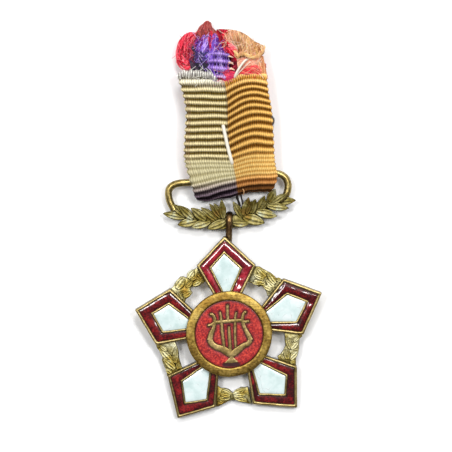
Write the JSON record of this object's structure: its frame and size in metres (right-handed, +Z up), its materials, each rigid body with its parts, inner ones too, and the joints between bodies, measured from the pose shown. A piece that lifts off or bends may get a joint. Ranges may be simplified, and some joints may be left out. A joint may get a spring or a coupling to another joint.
{
  "type": "miniature star medal on a short ribbon",
  "caption": "Miniature enamelled star medal with a lyre medallion, hung by a ring from a laurel suspension on a short ribbed ribbon with a frayed, tucked end; lies face up.",
  "frame": {"origin": "centre of the footprint, on the surface that the medal lies on", "axes": "+Z up out of the face; +Y from the star to the ribbon's tucked end, up in the picture; +X to the right in the picture"},
  "size_m": [0.0207, 0.0437, 0.0036],
  "materials": {
    "antique_brass": "worn antique brass, darker in the hollows",
    "dark_bronze": "dark toned bronze wire",
    "red_enamel": "glossy translucent red enamel",
    "white_enamel": "glossy white enamel, faintly blue-green",
    "ribbed_silk": "ribbed silk ribbon, faded cream and gold halves",
    "red_silk": "frayed red silk threads",
    "violet_silk": "unfaded violet ribbed silk",
    "gold_silk": "peach and gold ribbed silk",
    "pin_steel": "dark, dull steel wire"
  },
  "bodies": {
    "root": {"star_body": "antique_brass", "medallion": "antique_brass", "medallion_enamel": "red_enamel", "red_enamel_1": "red_enamel", "red_enamel_2": "red_enamel", "red_enamel_3": "red_enamel", "red_enamel_4": "red_enamel", "red_enamel_5": "red_enamel", "white_enamel_1": "white_enamel", "white_enamel_2": "white_enamel", "white_enamel_3": "white_enamel", "white_enamel_4": "white_enamel", "white_enamel_5": "white_enamel", "jump_ring": "dark_bronze", "laurel_suspension": "antique_brass", "ribbon": "ribbed_silk", "red_roll": "red_silk", "violet_tuck": "violet_silk", "gold_tuck": "gold_silk", "red_tuck": "red_silk", "red_peak": "red_silk", "safety_pin": "pin_steel"}
  },
  "joints": []
}
